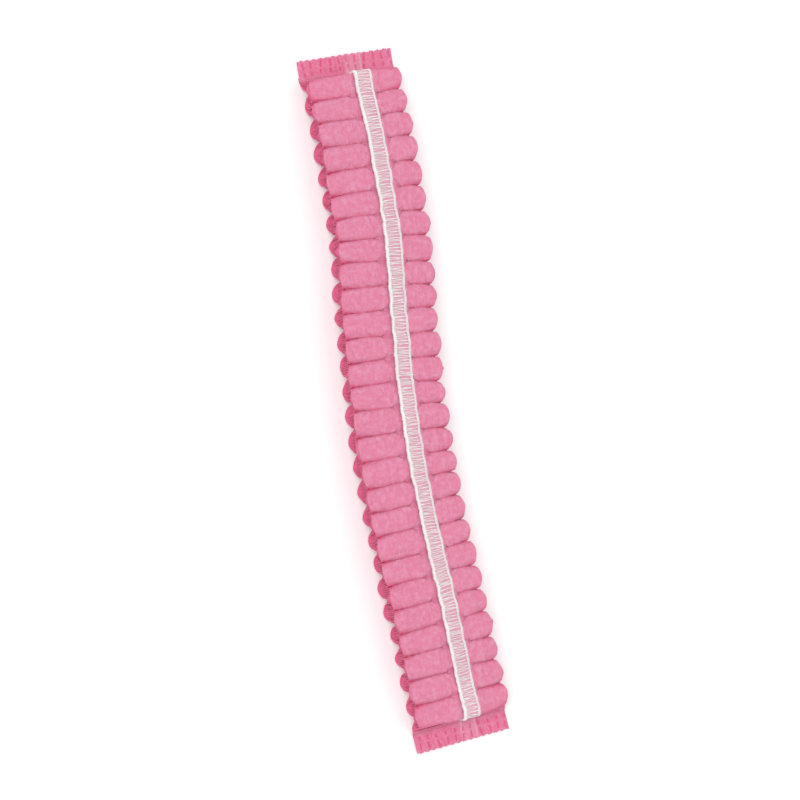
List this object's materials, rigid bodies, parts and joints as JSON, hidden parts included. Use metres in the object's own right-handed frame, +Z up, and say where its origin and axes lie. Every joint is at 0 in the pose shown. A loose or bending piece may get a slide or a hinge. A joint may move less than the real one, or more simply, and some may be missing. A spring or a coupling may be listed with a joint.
{
  "type": "disposable hair cover cap, folded strip",
  "caption": "Single-use nonwoven hair cover cap, folded into a flat strip, gathered lengthwise by two white elastic hems and welded at both ends.",
  "frame": {"origin": "middle of the folded strip's footprint, on the surface that it lies on", "axes": "+X across the strip, +Y along it, +Z up, out of the face that shows the stitched band"},
  "size_m": [0.0378, 0.2266, 0.011],
  "materials": {
    "web": "soft pink spunbond nonwoven, matt and slightly fuzzy",
    "hem": "white overlock thread over rubber elastic, matt"
  },
  "bodies": {
    "root": {"crown_web": "web", "rim_band_upper": "hem", "rim_band_under": "hem"}
  },
  "joints": []
}
